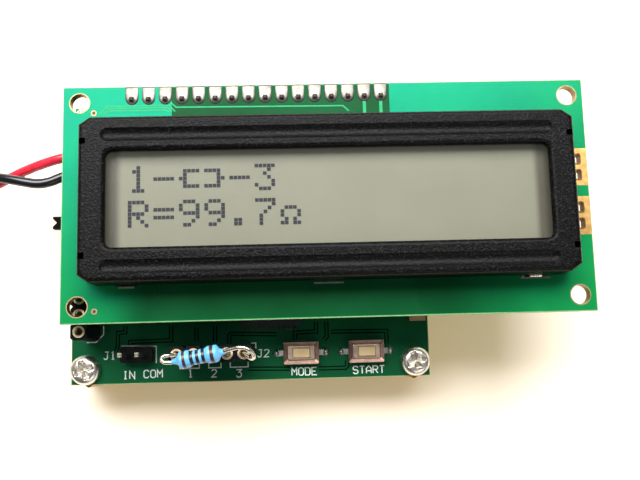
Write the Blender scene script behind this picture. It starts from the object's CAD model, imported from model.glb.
# %% [markdown]
# A component tester: a two-line character display, plugged on a small main board that stands on
# four standoffs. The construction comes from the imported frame, at its real size and place. This
# lesson gives every surface its finish and adds what is too fine for the frame: solder, copper
# tracks, printed legends, the dots of the display and the smooth line of the battery leads.

# %% Load the frame
import math

import bmesh
import bpy
from mathutils import Matrix, Vector


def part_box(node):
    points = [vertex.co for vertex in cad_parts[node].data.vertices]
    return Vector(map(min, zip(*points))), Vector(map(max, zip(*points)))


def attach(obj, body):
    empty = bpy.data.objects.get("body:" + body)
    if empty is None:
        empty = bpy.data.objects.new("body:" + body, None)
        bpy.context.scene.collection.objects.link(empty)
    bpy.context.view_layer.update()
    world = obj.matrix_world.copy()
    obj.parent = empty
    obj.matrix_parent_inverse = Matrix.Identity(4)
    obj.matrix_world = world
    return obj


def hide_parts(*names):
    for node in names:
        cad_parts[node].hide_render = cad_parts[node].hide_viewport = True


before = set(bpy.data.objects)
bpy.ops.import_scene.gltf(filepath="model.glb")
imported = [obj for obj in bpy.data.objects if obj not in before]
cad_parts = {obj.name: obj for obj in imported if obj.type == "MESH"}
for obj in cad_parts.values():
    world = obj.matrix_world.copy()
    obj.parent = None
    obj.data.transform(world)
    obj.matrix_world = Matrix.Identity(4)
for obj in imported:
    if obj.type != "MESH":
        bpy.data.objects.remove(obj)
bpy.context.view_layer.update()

MM = 0.001
ROOT = "tester"


def at(x, y, z):
    """A place in millimetres, as Blender's metres."""
    return Vector((x, y, z)) * MM


def low(node):
    """The lowest corner of a node's box, in millimetres."""
    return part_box(node)[0] / MM


def high(node):
    """The highest corner of a node's box, in millimetres."""
    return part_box(node)[1] / MM


# %% [markdown]
# The camera comes first. The photograph was taken almost straight down, from a little below the
# display. Its place was fitted to the corners of the display board, whose real size is known, so
# the focal length is given in pixels of the photograph and turned into a lens for a 36 mm sensor.

# %% Camera
PHOTO_WIDTH_PX = 640
FOCAL_PX = 788
SENSOR_MM = 36
NEAREST_SEEN_MM = 5
CAMERA_PLACE = at(7.09, -18.14, 141.37)
CAMERA_LOOK = Vector((0.0347, 0.1360, -0.9901))
CAMERA_UP = Vector((0.0229, 0.9903, 0.1369))
look = CAMERA_LOOK.normalized()
right = look.cross(CAMERA_UP).normalized()
up = right.cross(look)
lens = bpy.data.cameras.new("photo_camera")
lens.sensor_width = SENSOR_MM
lens.lens = SENSOR_MM * FOCAL_PX / PHOTO_WIDTH_PX
lens.clip_start = NEAREST_SEEN_MM * MM
camera = bpy.data.objects.new("photo_camera", lens)
facing = Matrix((right, up, -look)).transposed().to_4x4()
camera.matrix_world = Matrix.Translation(CAMERA_PLACE) @ facing
bpy.context.collection.objects.link(camera)
bpy.context.scene.camera = camera
bpy.context.scene.view_settings.view_transform = "Standard"
print("lens", round(lens.lens, 1), "mm")

# %% [markdown]
# Colours are written as sRGB hex, as they are read from a paint chart, and one function turns them
# into the linear values that shaders use. A second small function adds any shader node: its
# sockets come as a dictionary, with a plain value or another node's output, and its settings as
# keywords. Everything else about a finish is built from those two.

# %% Colours and nodes


def paint(text):
    """An sRGB hex colour as linear RGBA."""
    channels = [int(text[i:i + 2], 16) / 255 for i in (1, 3, 5)]
    straight = [c / 12.92 if c <= 0.04045 else ((c + 0.055) / 1.055) ** 2.4 for c in channels]
    return (*straight, 1.0)


def add(tree, kind, sockets=None, **settings):
    """Add a node, set it up, and set or link the sockets that are given."""
    made = tree.nodes.new("ShaderNode" + kind)
    for key, value in settings.items():
        setattr(made, key, value)
    for name, value in (sockets or {}).items():
        if isinstance(value, bpy.types.NodeSocket):
            tree.links.new(value, made.inputs[name])
        else:
            made.inputs[name].default_value = value
    return made


def material(name, **sockets):
    """A principled material. A value that is the same all over goes straight to its socket."""
    made = bpy.data.materials.new(name)
    made.use_nodes = True
    for key, value in sockets.items():
        made.node_tree.nodes["Principled BSDF"].inputs[key.replace("_", " ")].default_value = value
    return made


def feed(made, socket, source):
    """Link an output to a socket of a material's shader."""
    made.node_tree.links.new(source, made.node_tree.nodes["Principled BSDF"].inputs[socket])


print("a mid grey, #808080, is", round(paint("#808080")[0], 3), "in linear light")

# %% [markdown]
# Nearly every real surface shows three small things: its colour drifts in patches, its shine is
# broken, and it has a fine relief. Each is drawn from noise in the object's own space, so that the
# size of a patch or a grain is a size in millimetres, and stays put when the piece moves.

# %% Patches, broken shine and relief
PATCH_DETAIL = 3.0


def patchy(made, size_mm, deep, bright, edges=(0.3, 0.7)):
    """Let the colour drift between two shades, in patches about size_mm across."""
    tree = made.node_tree
    place = add(tree, "TexCoord").outputs["Object"]
    noise = add(tree, "TexNoise", {"Vector": place, "Scale": 1 / (size_mm * MM), "Detail": PATCH_DETAIL})
    share = add(tree, "MapRange", {"Value": noise.outputs["Fac"], "From Min": edges[0], "From Max": edges[1]})
    mixed = add(tree, "Mix", {"Factor": share.outputs["Result"], "A": paint(deep), "B": paint(bright)},
                data_type="RGBA")
    feed(made, "Base Color", mixed.outputs["Result"])
    return mixed.outputs["Result"]


def broken_shine(made, size_mm, smooth, dull):
    """Let the roughness wander between two values."""
    tree = made.node_tree
    place = add(tree, "TexCoord").outputs["Object"]
    noise = add(tree, "TexNoise", {"Vector": place, "Scale": 1 / (size_mm * MM), "Detail": PATCH_DETAIL})
    rough = add(tree, "MapRange", {"Value": noise.outputs["Fac"], "To Min": smooth, "To Max": dull})
    feed(made, "Roughness", rough.outputs["Result"])


def relief(made, size_mm, depth_mm, strength, stretch=(1, 1, 1)):
    """Raise grains about size_mm across by depth_mm."""
    tree = made.node_tree
    place = add(tree, "TexCoord").outputs["Object"]
    drawn = add(tree, "Mapping", {"Vector": place, "Scale": stretch}).outputs["Vector"]
    noise = add(tree, "TexNoise", {"Vector": drawn, "Scale": 1 / (size_mm * MM)}).outputs["Fac"]
    raised = add(tree, "Bump", {"Height": noise, "Distance": depth_mm * MM, "Strength": strength})
    feed(made, "Normal", raised.outputs["Normal"])


print("surface effects: patchy, broken_shine, relief")

# %% [markdown]
# The two battery leads are free cords, so they come right after the camera. A tube from point to
# point would show a kink at each one, so a lead is a single smooth spline with a round section. It
# runs through the route that the frame's tubes follow, and then through its put-away turns, which a
# loop works out: one low turn, a climb, and a quarter turn on top, on to the battery snap.

# %% Insulated stranded wire
# PVC sleeve, drawn smooth through a die: soft plastic shine with a faint unevenness along it.


def sleeve(name, deep, bright):
    made = material(name, IOR=1.53)
    patchy(made, 1.2, deep, bright)
    broken_shine(made, 0.35, smooth=0.14, dull=0.28)
    relief(made, 0.25, depth_mm=0.01, strength=0.4)
    return made


red_pvc = sleeve("red_pvc_sleeve", "#bd1a2c", "#dc2a3f")
black_pvc = sleeve("black_pvc_sleeve", "#0a0a0d", "#131419")
print("sleeves", red_pvc.name, black_pvc.name)

# %% Routes of the battery leads
LEAD_OD = 1.65
COIL_CENTRE = (-68.0, 2.0)
COIL_LOW = 1.2
COIL_LAYER = 2.1
COIL_START, COIL_DEGREES = 90, 450
CLIMB_START, CLIMB_DEGREES = 280, 105
POINTS_PER_TURN = 16
TAIL_Y = (-1.5, -5.5, -10.0)
RED_RADIUS = 7.4
BLACK_RADIUS = 9.6
RED_ROUTE = [(-25.6, 14.9, 12.55), (-30.0, 14.5, 12.6), (-34.6, 13.4, 11.8), (-39.0, 12.0, 10.5),
             (-42.8, 10.5, 9.2), (-47.0, 9.6, 7.4), (-51.3, 9.3, 5.0), (-55.6, 9.2, 2.7),
             (-59.8, 9.3, 1.35), (-63.9, 9.4, 1.2)]
BLACK_ROUTE = [(-25.6, 12.0, 12.6), (-29.4, 11.6, 12.75), (-33.6, 9.6, 13.0), (-37.6, 10.4, 13.0),
               (-41.5, 11.3, 12.3), (-45.9, 11.8, 10.2), (-50.2, 12.0, 7.0), (-54.5, 11.8, 3.6),
               (-59.2, 11.5, 1.5), (-63.8, 11.6, 1.2)]


def eased(share):
    """A share from 0 to 1 that starts and ends gently."""
    share = min(max(share, 0), 1)
    return share * share * (3 - 2 * share)


# Midway between two knots, a spline of order 3 takes this share of its nearest control point.
NEAREST_SHARE = 0.75


def coil_points(radius):
    """Control points of the put-away turns, a little outside so that the spline has the radius."""
    step = 360 / POINTS_PER_TURN
    outside = radius / (NEAREST_SHARE + (1 - NEAREST_SHARE) * math.cos(math.radians(step)))
    points = []
    for k in range(int(COIL_DEGREES / step) + 1):
        degrees = COIL_START + k * step
        height = COIL_LOW + COIL_LAYER * eased((degrees - CLIMB_START) / CLIMB_DEGREES)
        x = COIL_CENTRE[0] + outside * math.cos(math.radians(degrees))
        y = COIL_CENTRE[1] + outside * math.sin(math.radians(degrees))
        points.append((x, y, height))
    return points


def lead_points(route, radius):
    """The whole route: from the solder, round the coil and straight into the snap."""
    x_end = COIL_CENTRE[0] - radius
    z_end = COIL_LOW + COIL_LAYER
    tail = [(x_end, y, z_end) for y in TAIL_Y]
    return route + coil_points(radius) + tail


print("route points", len(lead_points(RED_ROUTE, RED_RADIUS)), len(lead_points(BLACK_ROUTE, BLACK_RADIUS)))

# %% Draw the leads


def lead(name, points, finish):
    """A round wire on one smooth spline."""
    curve = bpy.data.curves.new(name, "CURVE")
    curve.dimensions = "3D"
    curve.bevel_depth = LEAD_OD / 2 * MM
    curve.bevel_resolution = 6
    curve.use_fill_caps = True
    spline = curve.splines.new("NURBS")
    spline.points.add(len(points) - 1)
    for point, place in zip(spline.points, points):
        point.co = (*at(*place), 1.0)
    spline.order_u = 3
    spline.use_endpoint_u = True
    spline.resolution_u = 6
    curve.materials.append(finish)
    made = bpy.data.objects.new(name, curve)
    bpy.context.collection.objects.link(made)
    return made


def line_length(wire):
    """The length of a wire's centre line, measured on the curve with no bevel."""
    line = wire.data.copy()
    line.bevel_depth = 0
    probe = bpy.data.objects.new(wire.name + "_probe", line)
    bpy.context.collection.objects.link(probe)
    corners = [v.co for v in bpy.data.meshes.new_from_object(probe).vertices]
    bpy.data.objects.remove(probe)
    return sum((b - a).length for a, b in zip(corners, corners[1:]))


for shade, route, radius, finish in (("red", RED_ROUTE, RED_RADIUS, red_pvc),
                                     ("black", BLACK_ROUTE, BLACK_RADIUS, black_pvc)):
    wire = lead(shade + "_wire", lead_points(route, radius), finish)
    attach(wire, ROOT)
    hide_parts(shade + "_lead", shade + "_coil")
    length = line_length(wire)
    print(wire.name, round(length / MM, 1), "mm long")

# %% [markdown]
# The tester stands on a plain pale table. To the camera the floor adds a little light of its own,
# so that it reads as white paper while it still takes the object's soft, warm shadow. Near the
# object that light is weak and warm, and further out it is nearly white. The underside of the floor
# is clear, so that a view from below shows the feet and the solder side of the board.

# %% Floor
FLOOR_HALF = 1500
WARM_WITHIN, WHITE_BEYOND = 100, 350
WARM_GLOW, WHITE_GLOW = 0.22, 0.85
floor_mesh = bpy.data.meshes.new("floor")
floor_corners = [at(sx * FLOOR_HALF, sy * FLOOR_HALF, 0) for sx, sy in ((-1, -1), (1, -1), (1, 1), (-1, 1))]
floor_mesh.from_pydata(floor_corners, [], [(0, 1, 2, 3)])
floor = bpy.data.objects.new("floor", floor_mesh)
bpy.context.collection.objects.link(floor)
# Uncoated paper: matt and a little warm.
paper = material("white_paper", Roughness=0.9, Base_Color=paint("#f2e8dd"))
tree = paper.node_tree
ray = add(tree, "LightPath").outputs
seen = add(tree, "Math", {0: ray["Is Camera Ray"], 1: ray["Is Glossy Ray"]}, operation="MAXIMUM").outputs[0]
seen = add(tree, "Math", {0: seen, 1: ray["Is Transmission Ray"]}, operation="MAXIMUM").outputs[0]
place = add(tree, "TexCoord").outputs["Object"]
away = add(tree, "VectorMath", {0: place}, operation="LENGTH").outputs["Value"]
far = add(tree, "MapRange", {"Value": away, "From Min": WARM_WITHIN * MM, "From Max": WHITE_BEYOND * MM})
far = far.outputs["Result"]
tint = add(tree, "Mix", {"Factor": far, "A": paint("#ffd052"), "B": paint("#fffaf5")}, data_type="RGBA")
power = add(tree, "MapRange", {"Value": far, "To Min": WARM_GLOW, "To Max": WHITE_GLOW}).outputs["Result"]
glow = add(tree, "Emission", {"Color": tint.outputs["Result"], "Strength": power}).outputs[0]
dark = add(tree, "Emission", {"Strength": 0.0}).outputs[0]
veil = add(tree, "MixShader", {0: seen, 1: dark, 2: glow}).outputs[0]
total = add(tree, "AddShader", {0: tree.nodes["Principled BSDF"].outputs[0], 1: veil}).outputs[0]
under = add(tree, "NewGeometry").outputs["Backfacing"]
clear = add(tree, "BsdfTransparent").outputs[0]
total = add(tree, "MixShader", {0: under, 1: total, 2: clear}).outputs[0]
tree.links.new(total, tree.nodes["Material Output"].inputs["Surface"])
floor_mesh.materials.append(paper)
print("floor", 2 * FLOOR_HALF, "mm square")

# %% [markdown]
# The light is that of a table near a window: a large soft lamp behind the display, whose image
# lies on the far edge of the green board, a weak fill from the front, and a pale room that is
# brighter on the window's side. The camera itself sees a white background.

# %% Room and lamps
DIM_SIDE, WINDOW_SIDE = 0.12, 0.42
SIDES_FROM = 0.9
world = bpy.data.worlds.new("pale_room")
bpy.context.scene.world = world
world.use_nodes = True
sky = world.node_tree
sky.nodes["Background"].inputs["Color"].default_value = paint("#f2f4f6")
direction = add(sky, "SeparateXYZ", {0: add(sky, "TexCoord").outputs["Generated"]}).outputs["Y"]
north = add(sky, "MapRange", {"Value": direction, "From Min": -SIDES_FROM, "From Max": SIDES_FROM,
                              "To Min": DIM_SIDE, "To Max": WINDOW_SIDE}).outputs["Result"]
shown = add(sky, "LightPath").outputs["Is Camera Ray"]
level = add(sky, "Mix", {"Factor": shown, "A": north, "B": 1.0}, data_type="FLOAT").outputs["Result"]
sky.links.new(level, sky.nodes["Background"].inputs["Strength"])


def area_lamp(name, place, target, size_mm, watts):
    """A soft rectangular lamp that looks at a target."""
    lamp = bpy.data.lights.new(name, "AREA")
    lamp.shape = "RECTANGLE"
    lamp.size = size_mm[0] * MM
    lamp.size_y = size_mm[1] * MM
    lamp.energy = watts
    holder = bpy.data.objects.new(name, lamp)
    bpy.context.collection.objects.link(holder)
    holder.location = at(*place)
    holder.rotation_euler = (at(*target) - at(*place)).to_track_quat("-Z", "Y").to_euler()


area_lamp("window", place=(-30, 270, 420), target=(0, 40, 10), size_mm=(520, 330), watts=7.0)
area_lamp("front_fill", place=(160, -320, 260), target=(10, 0, 15), size_mm=(300, 200), watts=0.42)

# %% [markdown]
# Circuit board. Glass-fibre laminate lies under a clear green lacquer, and its weave shows through
# as a faint relief. The lacquer stops just short of the sawn outline, so a board has a thin pale
# rim, and its edges are bare laminate. The rim could be a strip of its own, but it is only a tenth
# of a millimetre wide, so the shader draws it, and the board's own box tells where it is. The two
# boards are of different makes, and the display's lacquer is the lighter green.

# %% Where the lacquer lies
RIM_MM = 0.11
FLAT_ABOVE = 0.5


def under_lacquer(tree, board):
    """One under the lacquer, and nought on the sawn edges and on the rim beside them."""
    place = add(tree, "TexCoord").outputs["Object"]
    normal = add(tree, "NewGeometry").outputs["Normal"]
    upright = add(tree, "SeparateXYZ", {0: normal}).outputs["Z"]
    upright = add(tree, "Math", {0: upright}, operation="ABSOLUTE").outputs[0]
    flat = add(tree, "Math", {0: upright, 1: FLAT_ABOVE}, operation="GREATER_THAN").outputs[0]
    centre = (low(board) + high(board)) / 2 * MM
    inside = (high(board) - low(board)) / 2 * MM - Vector((RIM_MM, RIM_MM, 0)) * MM
    reach = add(tree, "VectorMath", {0: place, 1: centre}, operation="SUBTRACT").outputs[0]
    reach = add(tree, "VectorMath", {0: reach}, operation="ABSOLUTE").outputs[0]
    past = add(tree, "VectorMath", {0: reach, 1: inside}, operation="SUBTRACT").outputs[0]
    past = add(tree, "SeparateXYZ", {0: past}).outputs
    past = add(tree, "Math", {0: past["X"], 1: past["Y"]}, operation="MAXIMUM").outputs[0]
    rim = add(tree, "Math", {0: past, 1: 0.0}, operation="GREATER_THAN").outputs[0]
    return add(tree, "Math", {0: flat, 1: rim}, operation="SUBTRACT", use_clamp=True).outputs[0]


print("rim without lacquer", RIM_MM, "mm")

# %% Green lacquer over laminate
WEAVE_MM, WEAVE_DEPTH_MM = 0.5, 0.012
FIBRE_MM = 0.4
LACQUER_PATCH_MM = 9
SAWN_ROUGH, LACQUER_ROUGH = 0.75, 0.3
# A wave texture of scale 1 repeats after this length.
WAVE_TURN = 0.314


def glass_weave(made):
    """Raise the crossing threads of the glass cloth."""
    tree = made.node_tree
    place = add(tree, "TexCoord").outputs["Object"]
    threads = {"Vector": place, "Scale": WAVE_TURN / (WEAVE_MM * MM), "Distortion": 0.6}
    warp = add(tree, "TexWave", threads, bands_direction="X").outputs["Fac"]
    weft = add(tree, "TexWave", threads, bands_direction="Y").outputs["Fac"]
    weave = add(tree, "Math", {0: warp, 1: weft}, operation="MULTIPLY").outputs[0]
    raised = add(tree, "Bump", {"Height": weave, "Distance": WEAVE_DEPTH_MM * MM, "Strength": 0.35})
    feed(made, "Normal", raised.outputs["Normal"])


def solder_mask(name, board, deep, bright, gloss_tint, gloss):
    """Clear lacquer with a coloured sheen on a board's two faces, and sawn laminate round them."""
    made = material(name, IOR=1.5, Specular_Tint=paint(gloss_tint), Specular_IOR_Level=gloss)
    tree = made.node_tree
    lacquer = patchy(made, LACQUER_PATCH_MM, deep, bright)
    covered = under_lacquer(tree, board)
    place = add(tree, "TexCoord").outputs["Object"]
    fibres = add(tree, "TexNoise", {"Vector": place, "Scale": 1 / (FIBRE_MM * MM), "Detail": 4.0})
    sawn = add(tree, "Mix", {"Factor": fibres.outputs["Fac"], "A": paint("#557d48"), "B": paint("#a5b684")},
               data_type="RGBA").outputs["Result"]
    mixed = add(tree, "Mix", {"Factor": covered, "A": sawn, "B": lacquer}, data_type="RGBA").outputs["Result"]
    feed(made, "Base Color", mixed)
    rough = add(tree, "MapRange", {"Value": covered, "To Min": SAWN_ROUGH, "To Max": LACQUER_ROUGH})
    feed(made, "Roughness", rough.outputs["Result"])
    glass_weave(made)
    return made


display_mask = solder_mask("green_mask_display", "display_board", "#0e6b2f", "#137b36",
                           gloss_tint="#3bdcd8", gloss=0.68)
main_mask = solder_mask("green_mask_main", "main_board", "#0d3e21", "#114a28",
                        gloss_tint="#5bdca8", gloss=0.56)
print("boards", display_mask.name, main_mask.name)

# %% [markdown]
# The bezel is stamped steel with a thick black powder coat. The coat dries in fine grains that
# catch the window one by one, so it looks black with a bright speckle. The real grains are about
# a tenth of a millimetre, too fine to show here, so they are drawn more than twice as coarse.

# %% Black powder coat on steel
GRAIN_MM = 0.26
SPECK_FROM, SPECK_FULL = 0.57, 0.7
powder = material("powder_coated_steel", IOR=1.5, Specular_IOR_Level=0.068)
tree = powder.node_tree
coat = patchy(powder, GRAIN_MM, "#040404", "#0c0c0b", edges=(0.35, 0.55))
place = add(tree, "TexCoord").outputs["Object"]
grit = add(tree, "TexNoise", {"Vector": place, "Scale": 1 / (GRAIN_MM * MM), "Detail": 4.0}).outputs["Fac"]
spark = add(tree, "MapRange", {"Value": grit, "From Min": SPECK_FROM, "From Max": SPECK_FULL})
speckle = add(tree, "Mix", {"Factor": spark.outputs["Result"], "A": coat, "B": paint("#272728")},
              data_type="RGBA")
feed(powder, "Base Color", speckle.outputs["Result"])
broken_shine(powder, 0.4, smooth=0.22, dull=0.4)
relief(powder, GRAIN_MM, depth_mm=0.09, strength=0.8)
print("bezel finish", powder.name)

# %% [markdown]
# The display cell is clear glass under a satin polarising film, over a silvered film that gives
# the greenish grey ground. Light passes the glass and the film, and a thin haze stays on top.
# Towards the two ends of the window the ground turns brown, where the cell's seal shades it.

# %% Glass, film and silvered ground
WINDOW_HALF = 32.3
BROWN_MM, BROWN_FULL_MM = 2.2, 0.9
film = material("polariser_film", Roughness=0.22, IOR=1.5, Alpha=0.06, Specular_IOR_Level=0.35)
patchy(film, 14, "#7d7f72", "#888a7c")
relief(film, 0.12, depth_mm=0.004, strength=0.3)
silvered = material("silvered_film", Roughness=0.5, IOR=1.45)
ground = patchy(silvered, 10, "#6a6a57", "#70705d")
tree = silvered.node_tree
window_middle = (low("display_bezel").x + high("display_bezel").x) / 2
place = add(tree, "TexCoord").outputs["Object"]
across = add(tree, "SeparateXYZ", {0: place}).outputs["X"]
across = add(tree, "Math", {0: across, 1: window_middle * MM}, operation="SUBTRACT").outputs[0]
across = add(tree, "Math", {0: across}, operation="ABSOLUTE").outputs[0]
brown = add(tree, "MapRange", {"Value": across, "From Min": (WINDOW_HALF - BROWN_MM) * MM,
                               "From Max": (WINDOW_HALF - BROWN_FULL_MM) * MM},
            interpolation_type="SMOOTHSTEP")
ends = add(tree, "Mix", {"Factor": brown.outputs["Result"], "A": ground, "B": paint("#2b220c")},
           data_type="RGBA")
feed(silvered, "Base Color", ends.outputs["Result"])
relief(silvered, 0.2, depth_mm=0.01, strength=0.3)
print("cell finishes", film.name, silvered.name)

# %% [markdown]
# Moulded plastics, lacquers and rubber share one build: a colour that drifts a little, an uneven
# satin shine from the mould's spark-eroded wall, and fine grit.

# %% Moulded plastics


def moulded(name, deep, bright, rough, grit_mm=0.12, gloss=0.5):
    """A plastic, lacquer or rubber between two shades."""
    made = material(name, IOR=1.5, Specular_IOR_Level=gloss)
    patchy(made, 2.5, deep, bright)
    broken_shine(made, 0.6, smooth=rough - 0.08, dull=rough + 0.1)
    relief(made, grit_mm, depth_mm=0.01, strength=0.5)
    return made


# Glass-filled nylon and acetal: near black, with hardly any shine.
strip_plastic = moulded("black_glass_filled_nylon", "#060607", "#0d0d0f", 0.45, gloss=0.08)
switch_plastic = moulded("black_acetal", "#050505", "#0a0a0a", 0.5, gloss=0.03)
# Filled epoxy from an etched mould: dull dark grey.
chip_plastic = moulded("chip_moulding_compound", "#141416", "#202023", 0.55)
# Soft vinyl: dark grey, with broad highlights on a coarse grain.
vinyl = moulded("black_vinyl", "#121214", "#1d1d20", 0.48, grit_mm=0.3)
# Nylon without pigment: cream, with a satin glow.
plunger_plastic = moulded("cream_nylon", "#bfa273", "#cdb184", 0.45)
# Epoxy that set as a drop: black and glossy, as if still wet.
epoxy = moulded("epoxy_drop", "#0a0a0b", "#151517", 0.2, grit_mm=0.4)
# Rubber filled with carbon, and pressed fibre: dark and matt.
rubber = moulded("conductive_rubber", "#1c1c1d", "#2a2a2a", 0.7)
fibre = moulded("pressed_fibre", "#2a1d16", "#3a2a20", 0.7, grit_mm=0.2)
# Cured epoxy round the display cell: straw yellow and dull.
seal_epoxy = moulded("seal_epoxy", "#8d8468", "#a09777", 0.5)
# Fired ceramic is matt tan, and a chip resistor has a glossy black glaze.
capacitor_body = moulded("fired_ceramic_tan", "#a9805a", "#c0976e", 0.5)
resistor_chip = moulded("glazed_chip", "#0d0d0e", "#18181a", 0.3)
# Oxide on the cut pins and rosin boiled dry around them: dull browns.
pin_ends = moulded("oxidised_pin_ends", "#1d1814", "#2e2620", 0.6)
rosin = moulded("rosin_residue", "#4c4036", "#6e6052", 0.4, grit_mm=0.3)
# Dipped lacquer, and bands painted on it by a wheel: clear colours with a wet gloss.
blue_lacquer = moulded("blue_lacquer", "#4f9bd0", "#69b2e2", 0.25, grit_mm=0.3)
brown_band = moulded("brown_band_paint", "#35190f", "#452515", 0.3, grit_mm=0.3)
black_band = moulded("black_band_paint", "#0e0e14", "#181820", 0.3, grit_mm=0.3)
print("plastics and lacquers", strip_plastic.name, vinyl.name, plunger_plastic.name, blue_lacquer.name)

# %% [markdown]
# Plated metals also share one build: the plate gives the colour, handling and rolling break its
# shine, and fine drawn scratches run along one way. A metal keeps the shader's own index.

# %% Plated metals


def plated(name, deep, bright, rough, scratch_mm=0.08, depth_mm=0.004):
    """A metal between two shades, with its scratches drawn along x."""
    made = material(name, Metallic=1.0)
    patchy(made, 1.1, deep, bright)
    broken_shine(made, 0.5, smooth=max(rough - 0.07, 0.04), dull=rough + 0.1)
    relief(made, scratch_mm, depth_mm, strength=0.4, stretch=(1, 5, 1))
    return made


# Gold over nickel: warm on pads, pale on contacts, worn grey on rings, tarnished brown in slots.
gold = plated("gold_plate", "#a9824a", "#cda768", 0.34)
pale_gold = plated("pale_gold_plate", "#b3a284", "#d6c7a6", 0.34)
worn_gold = plated("worn_gold_plate", "#877452", "#a8956d", 0.5)
old_gold = plated("tarnished_gold_plate", "#5d4126", "#7d5a35", 0.45)
# Nickel on screws, snaps and cans: pale and bright.
nickel = plated("nickel_plate", "#c9c2b8", "#e4ded4", 0.28)
# Thin steel sheet: a warm grey sheen, darker where the press has drawn it.
rolled_steel = plated("rolled_steel", "#a68f7e", "#c4ad9b", 0.3, scratch_mm=0.5, depth_mm=0.002)
drawn_steel = plated("drawn_steel", "#74594f", "#8e7467", 0.36, scratch_mm=0.5, depth_mm=0.002)
# Solder: bright where it froze from an iron, grey and grained where it was reflowed.
solder = plated("solder", "#8f8d86", "#b3b1aa", 0.3, scratch_mm=0.3, depth_mm=0.02)
reflowed = plated("reflowed_solder", "#726e68", "#908c84", 0.5, scratch_mm=0.4, depth_mm=0.02)
# Tin on copper: silvery on pins and wires, dull grey on the flat leads of the large chip.
tinned = plated("tinned_copper", "#b7b2a6", "#d8d3c8", 0.22)
dull_tin = plated("dull_tin", "#3c3d3b", "#52534f", 0.5)
# Brass from the lathe: yellow, with a fine shine.
brass = plated("turned_brass", "#b48e4b", "#c6a05a", 0.24)
print("metals", gold.name, nickel.name, rolled_steel.name, solder.name, tinned.name, brass.name)

# %% [markdown]
# Every node of the frame now gets its finish, apart from the leads, which the wires stand in for.
# The list is by finish, so that it reads as a bill of materials. A node that a finer piece replaces
# later is listed here as well.

# %% Finish of every node
FINISHES = {
    display_mask: ["display_board"],
    main_mask: ["main_board"],
    powder: ["display_bezel"],
    film: ["front_polariser", "front_glass"],
    pin_ends: ["display_header_pins"],
    seal_epoxy: ["cell_seal"],
    silvered: ["rear_glass", "rear_reflector"],
    rubber: ["upper_rubber_connector", "lower_rubber_connector"],
    epoxy: ["driver_drops"],
    strip_plastic: ["display_socket", "test_socket", "side_socket", "probe_header_strip",
                    "display_header_strip"],
    switch_plastic: ["switch_base", "switch_lever", "left_button_base", "right_button_base"],
    chip_plastic: ["microcontroller_body", "regulator_body"],
    vinyl: ["snap_cover", "coil_tie"],
    fibre: ["snap_plate"],
    plunger_plastic: ["left_button_plunger", "right_button_plunger"],
    gold: ["switch_wiper"],
    pale_gold: ["display_socket_contacts", "test_socket_contacts", "side_socket_contacts"],
    nickel: ["board_screws", "snap_stud", "snap_cup", "crystal", "left_button_dome", "right_button_dome"],
    rolled_steel: ["left_button_cover", "right_button_cover", "switch_shell"],
    solder: ["display_header_solder", "lead_solder", "left_button_leads", "right_button_leads"],
    dull_tin: ["microcontroller_leads"],
    tinned: ["probe_header_pins", "regulator_leads", "switch_terminals", "test_resistor_leads"],
    brass: ["standoffs"],
    capacitor_body: ["chip_capacitors"],
    resistor_chip: ["chip_resistors", "display_chip_resistors"],
    blue_lacquer: ["test_resistor_body"],
}
for finish, names in FINISHES.items():
    for name in names:
        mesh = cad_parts[name].data
        mesh.materials.clear()
        mesh.materials.append(finish)
dressed = sum(len(names) for names in FINISHES.values())
print("nodes with a finish", dressed, "of", len(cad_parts))

# %% [markdown]
# The fine pieces are small closed meshes, drawn in millimetres. A few builders make them all: a
# loft through rings of points, and on it a flat ribbon along a line for copper and printed
# strokes, a slab, and a shape spun about an upright axis.

# %% A piece, and the loft that fills it


def piece(name, fill, finish, body=ROOT, smooth=False):
    """A closed mesh on a body: fill draws it, in millimetres of the frame."""
    draft = bmesh.new()
    fill(draft)
    bmesh.ops.recalc_face_normals(draft, faces=draft.faces)
    for face in draft.faces:
        face.smooth = smooth
    mesh = bpy.data.meshes.new(name)
    draft.to_mesh(mesh)
    draft.free()
    mesh.transform(Matrix.Scale(MM, 4))
    made = bpy.data.objects.new(name, mesh)
    bpy.context.collection.objects.link(made)
    for part in finish if isinstance(finish, list) else [finish]:
        mesh.materials.append(part)
    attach(made, body)
    print(name, len(mesh.polygons), "faces")
    return made


def loft(draft, rings, closed=False):
    """Join rings of points with faces. An open loft gets a cap at each end."""
    rows = [[draft.verts.new(p) for p in ring] for ring in rings]
    pairs = list(zip(rows, rows[1:]))
    if closed:
        pairs.append((rows[-1], rows[0]))
    for a, b in pairs:
        for i in range(len(a)):
            j = (i + 1) % len(a)
            draft.faces.new((a[i], a[j], b[j], b[i]))
    if not closed:
        draft.faces.new(rows[0][::-1])
        draft.faces.new(rows[-1])


print("builders: piece, loft")

# %% Strips and slabs
SHARPEST_MITRE = 0.35


def sides(points, width):
    """The two edges of a strip along a line, mitred at its corners."""
    line = [Vector((x, y)) for x, y in points]
    edges = ([], [])
    for i, here in enumerate(line):
        way_in = (here - line[i - 1]).normalized() if i else (line[1] - here).normalized()
        way_out = (line[i + 1] - here).normalized() if i + 1 < len(line) else way_in
        middle = (way_in + way_out).normalized()
        across = Vector((-middle.y, middle.x)) * (width / 2 / max(middle.dot(way_in), SHARPEST_MITRE))
        edges[0].append(tuple(here + across))
        edges[1].append(tuple(here - across))
    return edges


def ribbon(draft, points, width, z0, z1):
    """A flat strip along a line."""
    pairs = zip(*sides(points, width))
    loft(draft, [[(*a, z0), (*b, z0), (*b, z1), (*a, z1)] for a, b in pairs])


def slab(draft, x0, x1, y0, y1, z0, z1):
    """A plain block between two corners."""
    corners = [(x0, y0), (x1, y0), (x1, y1), (x0, y1)]
    loft(draft, [[(x, y, z) for x, y in corners] for z in (z0, z1)])


print("builders: sides, ribbon, slab")

# %% Spun shapes and rows of pins
PITCH = 2.54


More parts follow.
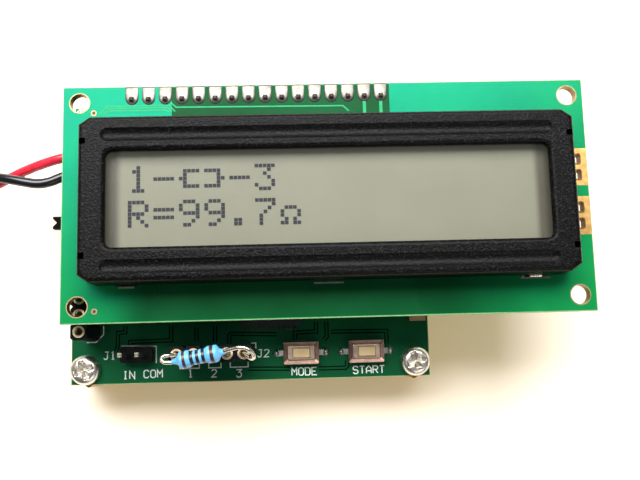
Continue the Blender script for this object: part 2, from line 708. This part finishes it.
def spun(draft, x, y, profile, steps=24, closed=False, ways=(1.0, 1.0)):
    """Spin a profile of (radius, height) about an upright axis, stretched by ways along x and y."""
    turns = [2 * math.pi * k / steps for k in range(steps)]
    rings = []
    for radius, height in profile:
        rings.append([(x + ways[0] * radius * math.cos(a), y + ways[1] * radius * math.sin(a), height)
                      for a in turns])
    loft(draft, rings, closed)


def from_face(face_z, profile):
    """A profile whose heights are counted from a face of a board."""
    return [(radius, face_z + height) for radius, height in profile]


def pin_row(node, count, along):
    """The upright axes of a row of pins or contacts, from the middle of its node's box."""
    centre = (low(node) + high(node)) / 2
    offsets = [PITCH * (k - (count - 1) / 2) for k in range(count)]
    return [(centre.x + d * along[0], centre.y + d * along[1]) for d in offsets]


HEADER = pin_row("display_header_pins", count=16, along=(1, 0))
TEST_HOLES = pin_row("test_socket_contacts", count=5, along=(1, 0))
SIDE_HOLES = pin_row("side_socket_contacts", count=4, along=(0, 1))
PROBE_PINS = pin_row("probe_header_pins", count=2, along=(1, 0))
print("header pins from", [round(v, 2) for v in HEADER[0]], "to", [round(v, 2) for v in HEADER[-1]])

# %% [markdown]
# Display board, copper. Tracks show as lighter lines, because the lacquer lies over bright copper
# there. Lines in a shader would need a formula for each, so the tracks are ribbons that stand a few
# hundredths of a millimetre proud, as the real ones do.

# %% Copper tracks on the display board
DISPLAY_TOP = high("display_board").z
DISPLAY_LOW = low("display_board").z
SINK, PROUD = 0.01, 0.03
ON_DISPLAY = (DISPLAY_TOP - SINK, DISPLAY_TOP + PROUD)
TRACK_WIDTH, SUPPLY_WIDTH = 0.22, 0.5
TRACKS = [
    [(-21.81, 18.03), (-20.7, 19.25), (-11.27, 19.19), (-10.39, 18.29)],
    [(-21.31, 18.03), (-20.44, 18.92), (-11.52, 18.9), (-10.89, 18.23)],
    [(-20.93, 18.02), (-20.19, 18.53), (-11.77, 18.51), (-11.27, 18.24)],
    [(-11.3, 19.95), (-10.26, 18.94), (15.3, 18.75), (16.2, 17.9)],
]
SUPPLY_ENDS_Y = (19.6, 17.2)


def tracks(draft):
    for line in TRACKS:
        ribbon(draft, line, TRACK_WIDTH, *ON_DISPLAY)
    for x, _ in HEADER[-2:]:
        ribbon(draft, [(x, end) for end in SUPPLY_ENDS_Y], SUPPLY_WIDTH, *ON_DISPLAY)


# Clear lacquer on copper: the same gloss as the board, over a lighter ground.
track_mask = material("lacquer_over_copper", Roughness=0.3, IOR=1.5, Specular_Tint=paint("#7fe8c8"))
patchy(track_mask, 2.0, "#187f45", "#1f8b50")
piece("display_tracks", tracks, track_mask)

# %% [markdown]
# Between the copper areas the lacquer lies straight on the laminate. There is no bright metal
# below it there, so it looks darker and takes little of the window's green sheen. Two such areas
# show: one between the header's lands and the bezel, and one along the board's lower edge. The
# second has no sharp ends, so it fades out towards both.

# %% Bare laminate on the display board
BARE_PROUD, BARE_INSET = 0.012, 0.22
PAST_LAST_PIN = 1.35
UPPER_X, UPPER_FROM_Y = (-10.9, HEADER[-1][0] + PAST_LAST_PIN), 16.0
LOWER_X, LOWER_TO_Y = (-21.7, 46.0), -8.1
FULL_X = (UPPER_X[0], 21.0)
BARE_AREAS = [(*UPPER_X, UPPER_FROM_Y, high("display_board").y - BARE_INSET),
              (*LOWER_X, low("display_board").y + BARE_INSET, LOWER_TO_Y)]


def bare_areas(draft):
    for x0, x1, y0, y1 in BARE_AREAS:
        slab(draft, x0, x1, y0, y1, DISPLAY_TOP - SINK, DISPLAY_TOP + BARE_PROUD)


# Lacquer on glass fibre: the colour of the lacquer alone, with a weak clear shine.
bare_mask = material("lacquer_over_glass_fibre", Roughness=0.32, IOR=1.5, Specular_IOR_Level=0.045)
tree = bare_mask.node_tree
across = add(tree, "SeparateXYZ", {0: add(tree, "TexCoord").outputs["Object"]}).outputs["X"]
fades = [add(tree, "MapRange", {"Value": across, "From Min": clear * MM, "From Max": full * MM},
             interpolation_type="SMOOTHSTEP").outputs["Result"] for clear, full in zip(LOWER_X, FULL_X)]
feed(bare_mask, "Alpha", add(tree, "Math", {0: fades[0], 1: fades[1]}, operation="MINIMUM").outputs[0])
patchy(bare_mask, 7, "#084421", "#0b4e29")
piece("bare_laminate", bare_areas, bare_mask)

# %% [markdown]
# Display board, solder. Each header land runs to the board's edge. Its solder lies low there, swells
# round the pin and closes in a round end, so it is lofted through half ellipses along the land.
# A little brown rosin is left around each cut pin.

# %% Header joints
LAND_HALF, LAND_INSET = 1.0, 0.1
LAND_EDGE = high("display_board").y - LAND_INSET
BEND_BEFORE_PIN = 0.2
SOLDER_LOW, SOLDER_RISE, SOLDER_REACH = 0.12, 0.22, 0.75
STRAIGHT_STEPS, ROUND_STEPS, ARCH_STEPS = 6, 8, 12
# The last ring stops short of a quarter turn, so that it isn't a single point.
LAST_RING_DEGREES = 86
ARCH = [math.pi * k / ARCH_STEPS for k in range(ARCH_STEPS + 1)]
STAIN = [(0.5, 0.2), (0.48, 0.3), (0.42, 0.36), (0.28, 0.39)]
STAIN_SHIFT, STAIN_WAYS = 0.05, (1.0, 0.9)
FACES_UP = 0.02


def header_joints(draft):
    for x, y in HEADER:
        bend = y + BEND_BEFORE_PIN
        stations = [(LAND_EDGE + (bend - LAND_EDGE) * k / STRAIGHT_STEPS, 1.0) for k in range(STRAIGHT_STEPS)]
        for k in range(ROUND_STEPS + 1):
            turn = math.radians(LAST_RING_DEGREES * k / ROUND_STEPS)
            stations.append((bend - LAND_HALF * math.sin(turn), math.cos(turn)))
        rings = []
        for here, share in stations:
            swell = math.exp(-((here - y) / SOLDER_REACH) ** 2)
            height = (SOLDER_LOW + SOLDER_RISE * swell) * math.sqrt(share)
            half = LAND_HALF * share
            rings.append([(x + half * math.cos(a), here, ON_DISPLAY[0] + height * math.sin(a)) for a in ARCH])
        loft(draft, rings)


def pin_stains(draft):
    for x, y in HEADER:
        spun(draft, x, y - STAIN_SHIFT, from_face(DISPLAY_TOP, STAIN), ways=STAIN_WAYS)


joints = piece("header_joints", header_joints, reflowed)
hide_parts("display_header_solder")
for face in joints.data.polygons:
    face.use_smooth = face.normal.z > FACES_UP and len(face.vertices) == 4
piece("pin_rosin", pin_stains, rosin, smooth=True)

# %% [markdown]
# Display board, gold. The corner holes are plated right through, with a narrow ring on each face.
# The empty backlight pads have oblong slots with tarnished walls, and two small vias show as dark
# holes in a gold ring. A flat ring would show no wall, so each is a closed loop round its hole.

# %% Plated holes and vias
HOLE_INSET = 2.5
HOLE_INNER, HOLE_WALL, HOLE_RING = 1.46, 1.5, 1.6
HOLE_STEPS = 48
board_low, board_high = low("display_board"), high("display_board")
HOLES = [(x, y) for x in (board_low.x + HOLE_INSET, board_high.x - HOLE_INSET)
         for y in (board_low.y + HOLE_INSET, board_high.y - HOLE_INSET)]
VIAS = [(-22.7, 18.22), (-22.3, -11.9)]
VIA_INNER, VIA_RING = 0.24, 0.45


def eyelets(draft):
    for x, y in HOLES:
        spun(draft, x, y, [(HOLE_INNER, DISPLAY_LOW - PROUD), (HOLE_INNER, DISPLAY_TOP + PROUD),
                           (HOLE_RING, DISPLAY_TOP + PROUD), (HOLE_RING, DISPLAY_TOP - SINK),
                           (HOLE_WALL, DISPLAY_TOP - SINK), (HOLE_WALL, DISPLAY_LOW + SINK),
                           (HOLE_RING, DISPLAY_LOW + SINK), (HOLE_RING, DISPLAY_LOW - PROUD)],
             HOLE_STEPS, closed=True)
    for x, y in VIAS:
        spun(draft, x, y, from_face(DISPLAY_TOP, [(VIA_INNER, -SINK), (VIA_INNER, PROUD),
                                                  (VIA_RING, PROUD), (VIA_RING, -SINK)]), closed=True)


def via_shadows(draft):
    for x, y in VIAS:
        spun(draft, x, y, from_face(DISPLAY_TOP, [(VIA_INNER, -SINK), (VIA_INNER, SINK)]))


piece("gold_eyelets", eyelets, worn_gold)
piece("via_holes", via_shadows, pin_ends)

# %% Backlight pads and their slots
PAD_X = (49.7, 52.6)
SLOT_X, SLOT_HALF, SLOT_CORNER = 51.2, (0.45, 0.85), 0.4
SLOT_FLANGE, SLOT_WALL = 0.07, 0.08
CORNER_STEPS = 4
# The ends of each pad along y, and the middles of its two slots.
PAD_SPANS = {(5.5, 11.3): (7.15, 9.6), (-2.1, 3.8): (-0.4, 2.1)}


def edge_pads(draft):
    for (y0, y1), slots in PAD_SPANS.items():
        slab(draft, PAD_X[0], SLOT_X - SLOT_HALF[0], y0, y1, *ON_DISPLAY)
        slab(draft, SLOT_X + SLOT_HALF[0], PAD_X[1], y0, y1, *ON_DISPLAY)
        edges = [y0] + [y + s * SLOT_HALF[1] for y in slots for s in (-1, 1)] + [y1]
        for a, b in zip(edges[::2], edges[1::2]):
            slab(draft, SLOT_X - SLOT_HALF[0], SLOT_X + SLOT_HALF[0], a, b, *ON_DISPLAY)


def oblong(y, grow, z):
    """The outline of a backlight slot, grown by a little, as a ring of points."""
    half_x, half_y = (half + grow for half in SLOT_HALF)
    corner = SLOT_CORNER + grow
    ring = []
    for sx, sy, turn in ((1, 1, 0), (-1, 1, 90), (-1, -1, 180), (1, -1, 270)):
        for k in range(CORNER_STEPS + 1):
            angle = math.radians(turn + 90 * k / CORNER_STEPS)
            ring.append((SLOT_X + sx * (half_x - corner) + corner * math.cos(angle),
                         y + sy * (half_y - corner) + corner * math.sin(angle), z))
    return ring


def slot_walls(draft):
    top = DISPLAY_TOP + PROUD + SINK
    bottom = DISPLAY_LOW - PROUD
    section = [(SLOT_FLANGE, top), (SLOT_FLANGE, DISPLAY_TOP), (0, DISPLAY_TOP), (0, bottom),
               (-SLOT_WALL, bottom), (-SLOT_WALL, top)]
    for slots in PAD_SPANS.values():
        for y in slots:
            loft(draft, [oblong(y, grow, z) for grow, z in section], closed=True)


piece("backlight_pads", edge_pads, gold)
piece("slot_walls", slot_walls, old_gold)

# %% [markdown]
# Six tabs of the bezel go through the board and are twisted below it. Above, each has a tinned
# land, of which only a bright sliver shows beside the bezel.

# %% Lands beside the bezel's tabs
TAB_SPANS = ((-18.8, -16.45), (10.1, 14.6), (41.2, 45.7))
WALLS_Y = (-8.37, 16.26)
SLIVER = 0.25


def tab_lands(draft):
    for x0, x1 in TAB_SPANS:
        for y0 in (WALLS_Y[0] - SLIVER, WALLS_Y[1]):
            slab(draft, x0, x1, y0, y0 + SLIVER, DISPLAY_TOP - SINK, DISPLAY_TOP + 2 * PROUD)


piece("tab_lands", tab_lands, solder)

# %% [markdown]
# The display's dots lie between its two glasses, below the surface that the bezel's lip shades.
# Each character is drawn on its five by seven dots, and the clear glass with its film lies over
# them as a single block, because many clear layers would only make the ground dark.

# %% Characters of the display
# The letter O stands for the ohm sign.
GLYPHS = {
    "1": "..#.. .##.. ..#.. ..#.. ..#.. ..#.. .###.",
    "-": "..... ..... ..... ##### ..... ..... .....",
    "[": "..... .#### .#... ##... .#... .#### .....",
    "]": "..... ####. ...#. ...## ...#. ####. .....",
    "3": "##### ...#. ..#.. ...#. ....# #...# .###.",
    "R": "####. #...# #...# ####. #.#.. #..#. #...#",
    "=": "..... ..... ##### ..... ##### ..... .....",
    "9": ".###. #...# #...# .#### ....# ...#. .##..",
    ".": "..... ..... ..... ..... ..... .##.. .##..",
    "7": "##### ....# ...#. ..#.. .#... .#... .#...",
    "O": "..... ..... .###. #...# #...# .#.#. ##.##",
}
LINES = ("1-[]-3", "R=99.7O")
print("display lines", LINES)

# %% Dots of the display
DOT_STEP = (0.61, 0.572)
DOT_HALF = (0.265, 0.25)
CHARACTER_STEP, LINE_STEP = 3.69, 5.14
FIRST_DOT = (-16.45, 8.72)
DOT_LIFT, DOT_THICK = 0.02, 0.05
DOT_LOW = low("cell_seal").z + DOT_LIFT
DOT_HIGH = DOT_LOW + DOT_THICK


def dots(draft):
    for row, text in enumerate(LINES):
        for place, letter in enumerate(text):
            for down, strip in enumerate(GLYPHS[letter].split()):
                for across in [k for k, mark in enumerate(strip) if mark == "#"]:
                    x = FIRST_DOT[0] + place * CHARACTER_STEP + across * DOT_STEP[0]
                    y = FIRST_DOT[1] - row * LINE_STEP - down * DOT_STEP[1]
                    slab(draft, x - DOT_HALF[0], x + DOT_HALF[0], y - DOT_HALF[1], y + DOT_HALF[1],
                         DOT_LOW, DOT_HIGH)


def clear_cell(draft):
    rings = []
    for name in ("front_glass", "front_polariser"):
        a = low(name)
        b = high(name)
        for z in (a.z, b.z):
            rings.append([(a.x, a.y, z), (b.x, a.y, z), (b.x, b.y, z), (a.x, b.y, z)])
    loft(draft, rings)


# Liquid crystal that has turned: slate blue, without shine, because it lies under the glass.
turned_crystal = material("turned_liquid_crystal", Roughness=0.8, Specular_IOR_Level=0.1)
patchy(turned_crystal, 3.0, "#0f1122", "#15182b")
cell = piece("clear_cell", clear_cell, film)
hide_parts("front_polariser", "front_glass")
piece("display_dots", dots, turned_crystal)

# %% [markdown]
# Main board. Its copper covers most of the face, so here the lines that show are the thin dark
# gaps where the copper is etched away, one along each side of a track. They are ribbons too, drawn
# at half a track's width on both sides of its centre line.

# %% Etched lines
BOARD_TOP = high("main_board").z
BOARD_LOW = low("main_board").z
ETCH_WIDTH, TRACK_HALF = 0.2, 0.25
ETCHED = [
    [(-13.0, -13.9), (-13.0, -16.2), (-19.6, -16.3), (-19.6, -17.1)],
    [(-20.4, -13.7), (-20.4, -14.7), (-21.6, -14.8), (-21.6, -17.0), (-21.9, -17.8)],
    [(-8.9, -14.2), (-8.9, -16.5)],
    [(-5.9, -14.1), (-5.9, -16.7)],
    [(-3.6, -17.0), (-3.6, -15.7), (-3.3, -15.4), (4.1, -15.7)],
    [(7.1, -16.6), (7.1, -15.5), (10.6, -15.4), (10.6, -13.8)],
    [(11.8, -16.8), (12.3, -16.3), (12.3, -13.8)],
    [(13.0, -15.5), (22.1, -15.6), (22.1, -17.7)],
    [(-0.7, -21.1), (6.2, -21.3)],
    [(10.9, -21.4), (15.2, -21.4), (15.5, -21.1), (15.5, -20.2)],
]


def etched(draft):
    for line in ETCHED:
        for gap in sides(line, 2 * TRACK_HALF):
            ribbon(draft, gap, ETCH_WIDTH, BOARD_TOP - SINK, BOARD_TOP + SINK)


# Lacquer straight on the laminate: darker than over copper, and a little duller in the groove.
groove_mask = material("lacquer_over_laminate", Roughness=0.5, Specular_IOR_Level=0.02)
patchy(groove_mask, 1.5, "#010a05", "#011008")
piece("etched_lines", etched, groove_mask)

# %% [markdown]
# The legends are printed in white ink. Blender's own text would need a font and many faces, so the
# letters are strokes on a grid of 4 by 6, as a plotter draws them, with corner marks beside the
# sockets.

# %% Letters as strokes
STROKES = {
    "1": [[(1, 5), (2, 6), (2, 0)], [(1, 0), (3, 0)]],
    "2": [[(0, 5), (1, 6), (3, 6), (4, 5), (4, 4), (0, 0), (4, 0)]],
    "3": [[(0, 6), (4, 6), (2, 4), (3, 4), (4, 3), (4, 1), (3, 0), (1, 0), (0, 1)]],
    "I": [[(1, 0), (3, 0)], [(2, 0), (2, 6)], [(1, 6), (3, 6)]],
    "N": [[(0, 0), (0, 6), (4, 0), (4, 6)]],
    "C": [[(4, 5), (3, 6), (1, 6), (0, 5), (0, 1), (1, 0), (3, 0), (4, 1)]],
    "O": [[(1, 0), (0, 1), (0, 5), (1, 6), (3, 6), (4, 5), (4, 1), (3, 0), (1, 0)]],
    "M": [[(0, 0), (0, 6), (2, 3), (4, 6), (4, 0)]],
    "D": [[(0, 0), (0, 6), (3, 6), (4, 5), (4, 1), (3, 0), (0, 0)]],
    "E": [[(4, 0), (0, 0), (0, 6), (4, 6)], [(0, 3), (3, 3)]],
    "S": [[(4, 5), (3, 6), (1, 6), (0, 5), (0, 4), (1, 3), (3, 3), (4, 2), (4, 1), (3, 0), (1, 0), (0, 1)]],
    "T": [[(0, 6), (4, 6)], [(2, 6), (2, 0)]],
    "A": [[(0, 0), (0, 4), (2, 6), (4, 4), (4, 0)], [(0, 2), (4, 2)]],
    "R": [[(0, 0), (0, 6), (3, 6), (4, 5), (4, 4), (3, 3), (0, 3)], [(2, 3), (4, 0)]],
    "J": [[(0, 1), (1, 0), (2, 0), (3, 1), (3, 6)], [(1, 6), (4, 6)]],
}
print("letters", "".join(STROKES))

# %% Printed legends
LEGENDS = [("1", -9.9, -21.6), ("2", -6.1, -21.7), ("3", -2.1, -21.8), ("IN", -19.8, -21.6),
           ("COM", -15.9, -21.5), ("MODE", 8.5, -21.8), ("START", 19.0, -21.8), ("J1", -22.9, -18.4),
           ("J2", 1.9, -18.7)]
LETTER_STEP = 1.08
GRID_MM, GRID_MIDDLE = 0.195, (2, 3)
PRINT_WIDTH = 0.17
CORNER_MARKS = [
    [(-21.1, -16.9), (-15.4, -17.1), (-15.4, -19.8)],
    [(-3.48, -20.0), (-3.48, -20.8), (-0.59, -20.8), (-0.59, -20.0)],
    [(-6.95, -20.0), (-6.95, -20.8), (-4.97, -20.8), (-4.97, -20.0)],
    [(-11.6, -20.0), (-11.6, -20.8), (-8.49, -20.8), (-8.49, -20.0)],
    [(-0.1, -17.0), (0.7, -17.0), (0.7, -17.9)],
    [(-26.6, -16.2), (-25.1, -16.2), (-23.9, -15.0), (-23.9, -13.6)],
]


def legends(draft):
    lines = list(CORNER_MARKS)
    for text, x, y in LEGENDS:
        first = x - (len(text) - 1) * LETTER_STEP / 2
        for k, letter in enumerate(text):
            centre = first + k * LETTER_STEP
            for stroke in STROKES[letter]:
                lines.append([(centre + (u - GRID_MIDDLE[0]) * GRID_MM, y + (v - GRID_MIDDLE[1]) * GRID_MM)
                              for u, v in stroke])
    for line in lines:
        ribbon(draft, line, PRINT_WIDTH, BOARD_TOP - SINK, BOARD_TOP + PROUD)


# Screen-printed ink: matt, white, a little thin where the mesh of the screen lay.
ink = material("screen_printed_ink", Roughness=0.6)
patchy(ink, 0.15, "#b9c4ba", "#e3e8e2", edges=(0.3, 0.6))
piece("printed_legends", legends, ink)

# %% [markdown]
# Solder on the main board: a mound at each button lead, and below the board a cone on every pin
# that comes through it. Both are round, so each is a profile spun about the lead or the pin.

# %% Solder on the main board
MOUND = [(0.72, -SINK), (0.7, 0.06), (0.55, 0.22), (0.32, 0.42), (0.1, 0.5)]
MOUND_OUT, MOUND_WAYS, MOUND_STEPS = 0.05, (0.8, 0.95), 20
CONE = [(0.95, SINK), (0.9, -0.08), (0.6, -0.35), (0.42, -0.8), (0.36, -1.1)]
CONE_STEPS = 16


def button_mounds(draft):
    for name in ("left_button_leads", "right_button_leads"):
        a, b = low(name), high(name)
        for x in (a.x - MOUND_OUT, b.x + MOUND_OUT):
            spun(draft, x, (a.y + b.y) / 2, from_face(BOARD_TOP, MOUND), MOUND_STEPS, ways=MOUND_WAYS)


def underside_cones(draft):
    for x, y in HEADER + TEST_HOLES + SIDE_HOLES + PROBE_PINS:
        spun(draft, x, y, from_face(BOARD_LOW, CONE), CONE_STEPS)


piece("button_solder", button_mounds, solder, smooth=True)
piece("underside_solder", underside_cones, solder, smooth=True)

# %% [markdown]
# Below the board a track runs from every pin of the display's socket towards the middle. The tracks
# draw together on the way, and each ends in a small hole that is closed by the lacquer.

# %% Copper tracks under the main board
UNDER_STRAIGHT, UNDER_CLOSER, UNDER_END = 4.0, 0.45, -7.0
ENDS_IN_TURN = 4
TENTED_R = 0.42


def underside_tracks(draft):
    middle = (HEADER[0][0] + HEADER[-1][0]) / 2
    z0 = BOARD_LOW - PROUD
    z1 = BOARD_LOW + SINK
    for k, (x, y) in enumerate(HEADER):
        shift = (middle - x) * UNDER_CLOSER
        bend = y - UNDER_STRAIGHT
        end = UNDER_END + k % ENDS_IN_TURN
        line = [(x, y), (x, bend), (x + shift, bend - abs(shift)), (x + shift, end)]
        ribbon(draft, line, TRACK_WIDTH, z0, z1)
        spun(draft, x + shift, end, [(TENTED_R, z0), (TENTED_R, z1)])


piece("underside_tracks", underside_tracks, track_mask)

# %% [markdown]
# The button covers are pressed from thin steel. Round the raised middle the sheet is dished, so the
# far side of the dish looks dark and the near side catches the window. The press has also drawn the
# sheet duller there. The dish is a low ring with a sloping inner face.

# %% Dished rims of the button covers
DISH_OUTER = (2.8, 1.72)
DISH_INNER = (2.27, 1.2)
DISH_CORNER = 0.22
DISH_STEP_DOWN = 0.3
DISH = [(DISH_OUTER, -0.1), (DISH_OUTER, 0.2), (DISH_INNER, 0.02), (DISH_INNER, -0.1)]


def cut_corners(x, y, z, half, corner):
    """A rectangle with its corners cut off, as a ring of points."""
    ring = []
    for sx, sy, first in ((1, 1, 0), (-1, 1, 1), (-1, -1, 0), (1, -1, 1)):
        ends = [(half[0], half[1] - corner), (half[0] - corner, half[1])]
        if first:
            ends.reverse()
        ring += [(x + sx * u, y + sy * v, z) for u, v in ends]
    return ring


def dished_rims(draft):
    for name in ("left_button_cover", "right_button_cover"):
        centre = (low(name) + high(name)) / 2
        plate = high(name).z - DISH_STEP_DOWN
        rings = [cut_corners(centre.x, centre.y, plate + height, half, DISH_CORNER) for half, height in DISH]
        loft(draft, rings, closed=True)


piece("dished_rims", dished_rims, drawn_steel)

# %% [markdown]
# The board screws have a pan head with a cross recess, whose arms narrow towards the bottom. A cross
# cut with a boolean would leave ragged faces, so the head is a height field on a polar grid: a flat
# middle, a round shoulder, and the cross sunk in it.

# %% Screw heads
HEAD_R, SHOULDER_R = 2.4, 1.2
SHANK_R = 1.0
CROSS_REACH, CROSS_HALF, CROSS_TAPER, CROSS_DEPTH = 1.6, 0.52, 0.42, 0.95
CROSS_TURN = math.radians(20)
HEAD_RINGS, HEAD_STEPS = 26, 96
screws_low, screws_high = low("board_screws"), high("board_screws")
SCREWS = [(x, y) for x in (screws_low.x + HEAD_R, screws_high.x - HEAD_R)
          for y in (screws_low.y + HEAD_R, screws_high.y - HEAD_R)]


def head_height(radius, turn):
    """Height of the head's face, from its flat middle down."""
    past = max(radius - (HEAD_R - SHOULDER_R), 0)
    drop = SHOULDER_R - math.sqrt(max(SHOULDER_R ** 2 - past ** 2, 0))
    u = abs(radius * math.cos(turn - CROSS_TURN))
    v = abs(radius * math.sin(turn - CROSS_TURN))
    outside = max(max(u, v) - CROSS_REACH, min(u, v) - CROSS_HALF)
    sunk = min(max(-outside / CROSS_TAPER, 0), 1)
    return -max(drop, CROSS_DEPTH * sunk)


def screw_heads(draft):
    turns = [2 * math.pi * k / HEAD_STEPS for k in range(HEAD_STEPS)]
    for x, y in SCREWS:
        spun(draft, x, y, [(SHANK_R, screws_low.z), (SHANK_R, BOARD_TOP + SINK)])
        rings = [[(x + HEAD_R * math.cos(a), y + HEAD_R * math.sin(a), BOARD_TOP) for a in turns]]
        for k in range(HEAD_RINGS):
            radius = HEAD_R * (1 - k / HEAD_RINGS)
            rings.append([(x + radius * math.cos(a), y + radius * math.sin(a),
                           screws_high.z + head_height(radius, a)) for a in turns])
        loft(draft, rings)


heads = piece("screw_heads", screw_heads, nickel, smooth=True)
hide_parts("board_screws")

# %% [markdown]
# The resistor is spun about its own slanting axis: a lacquered dog-bone with five painted bands.
# The bands say one, zero, zero, times one, one percent: a hundred ohms, and the display reads 99.7.

# %% Resistor
AXIS_START = Vector((-10.6, -19.47, 22.0))
AXIS_END = Vector((-3.9, -18.33, 22.6))
CAP_R, WAIST_R = 1.32, 1.08
CAP_LENGTH, SHOULDER, END_ROUND = 1.75, 0.6, 0.7
END_GAP, END_FULLNESS = 0.1, 0.86
NECK_R, NECK_TIP_R, NECK_LENGTH = 0.6, 0.34, 0.85
BODY_STEPS, NECK_STEPS, ROUND_SIDES = 60, 5, 32
# Each band's start and end, as shares of the length, and its place in the list of finishes.
BANDS = [(0.14, 0.21, 1), (0.31, 0.385, 2), (0.445, 0.52, 2), (0.58, 0.655, 2), (0.78, 0.86, 1)]


def resistor_radius(along, length):
    """Radius along the body: round ends, fuller caps, a slimmer waist and lacquer drawn along the leads."""
    edge = min(along, length - along)
    if edge < 0:
        return NECK_TIP_R + (NECK_R - NECK_TIP_R) * (1 + edge / NECK_LENGTH) ** 2
    radius = CAP_R + (WAIST_R - CAP_R) * eased((edge - CAP_LENGTH) / SHOULDER)
    if edge < END_ROUND:
        fall = (END_ROUND - edge) / END_ROUND
        radius *= math.sqrt(END_FULLNESS * (1 - fall * fall) + (1 - END_FULLNESS) * (1 - fall))
    return max(radius, NECK_R)


def resistor(draft):
    way = AXIS_END - AXIS_START
    length = way.length - 2 * END_GAP
    side = way.cross(Vector((0, 0, 1))).normalized()
    other = side.cross(way).normalized()
    stops = {length * k / BODY_STEPS for k in range(BODY_STEPS + 1)}
    stops |= {length * edge for band in BANDS for edge in band[:2]}
    necks = [NECK_LENGTH * k / NECK_STEPS for k in range(1, NECK_STEPS + 1)]
    stops |= {-reach for reach in necks} | {length + reach for reach in necks}
    turns = [2 * math.pi * k / ROUND_SIDES for k in range(ROUND_SIDES)]
    rings = []
    for along in sorted(stops):
        radius = resistor_radius(along, length)
        centre = AXIS_START + way.normalized() * (END_GAP + along)
        rings.append([centre + (side * math.cos(a) + other * math.sin(a)) * radius for a in turns])
    loft(draft, rings)
    for face in draft.faces:
        along = (face.calc_center_median() - AXIS_START).dot(way.normalized()) - END_GAP
        for start, end, band in BANDS:
            if start < along / length < end:
                face.material_index = band


banded = piece("banded_resistor", resistor, [blue_lacquer, brown_band, black_band], body="resistor",
               smooth=True)
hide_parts("test_resistor_body")
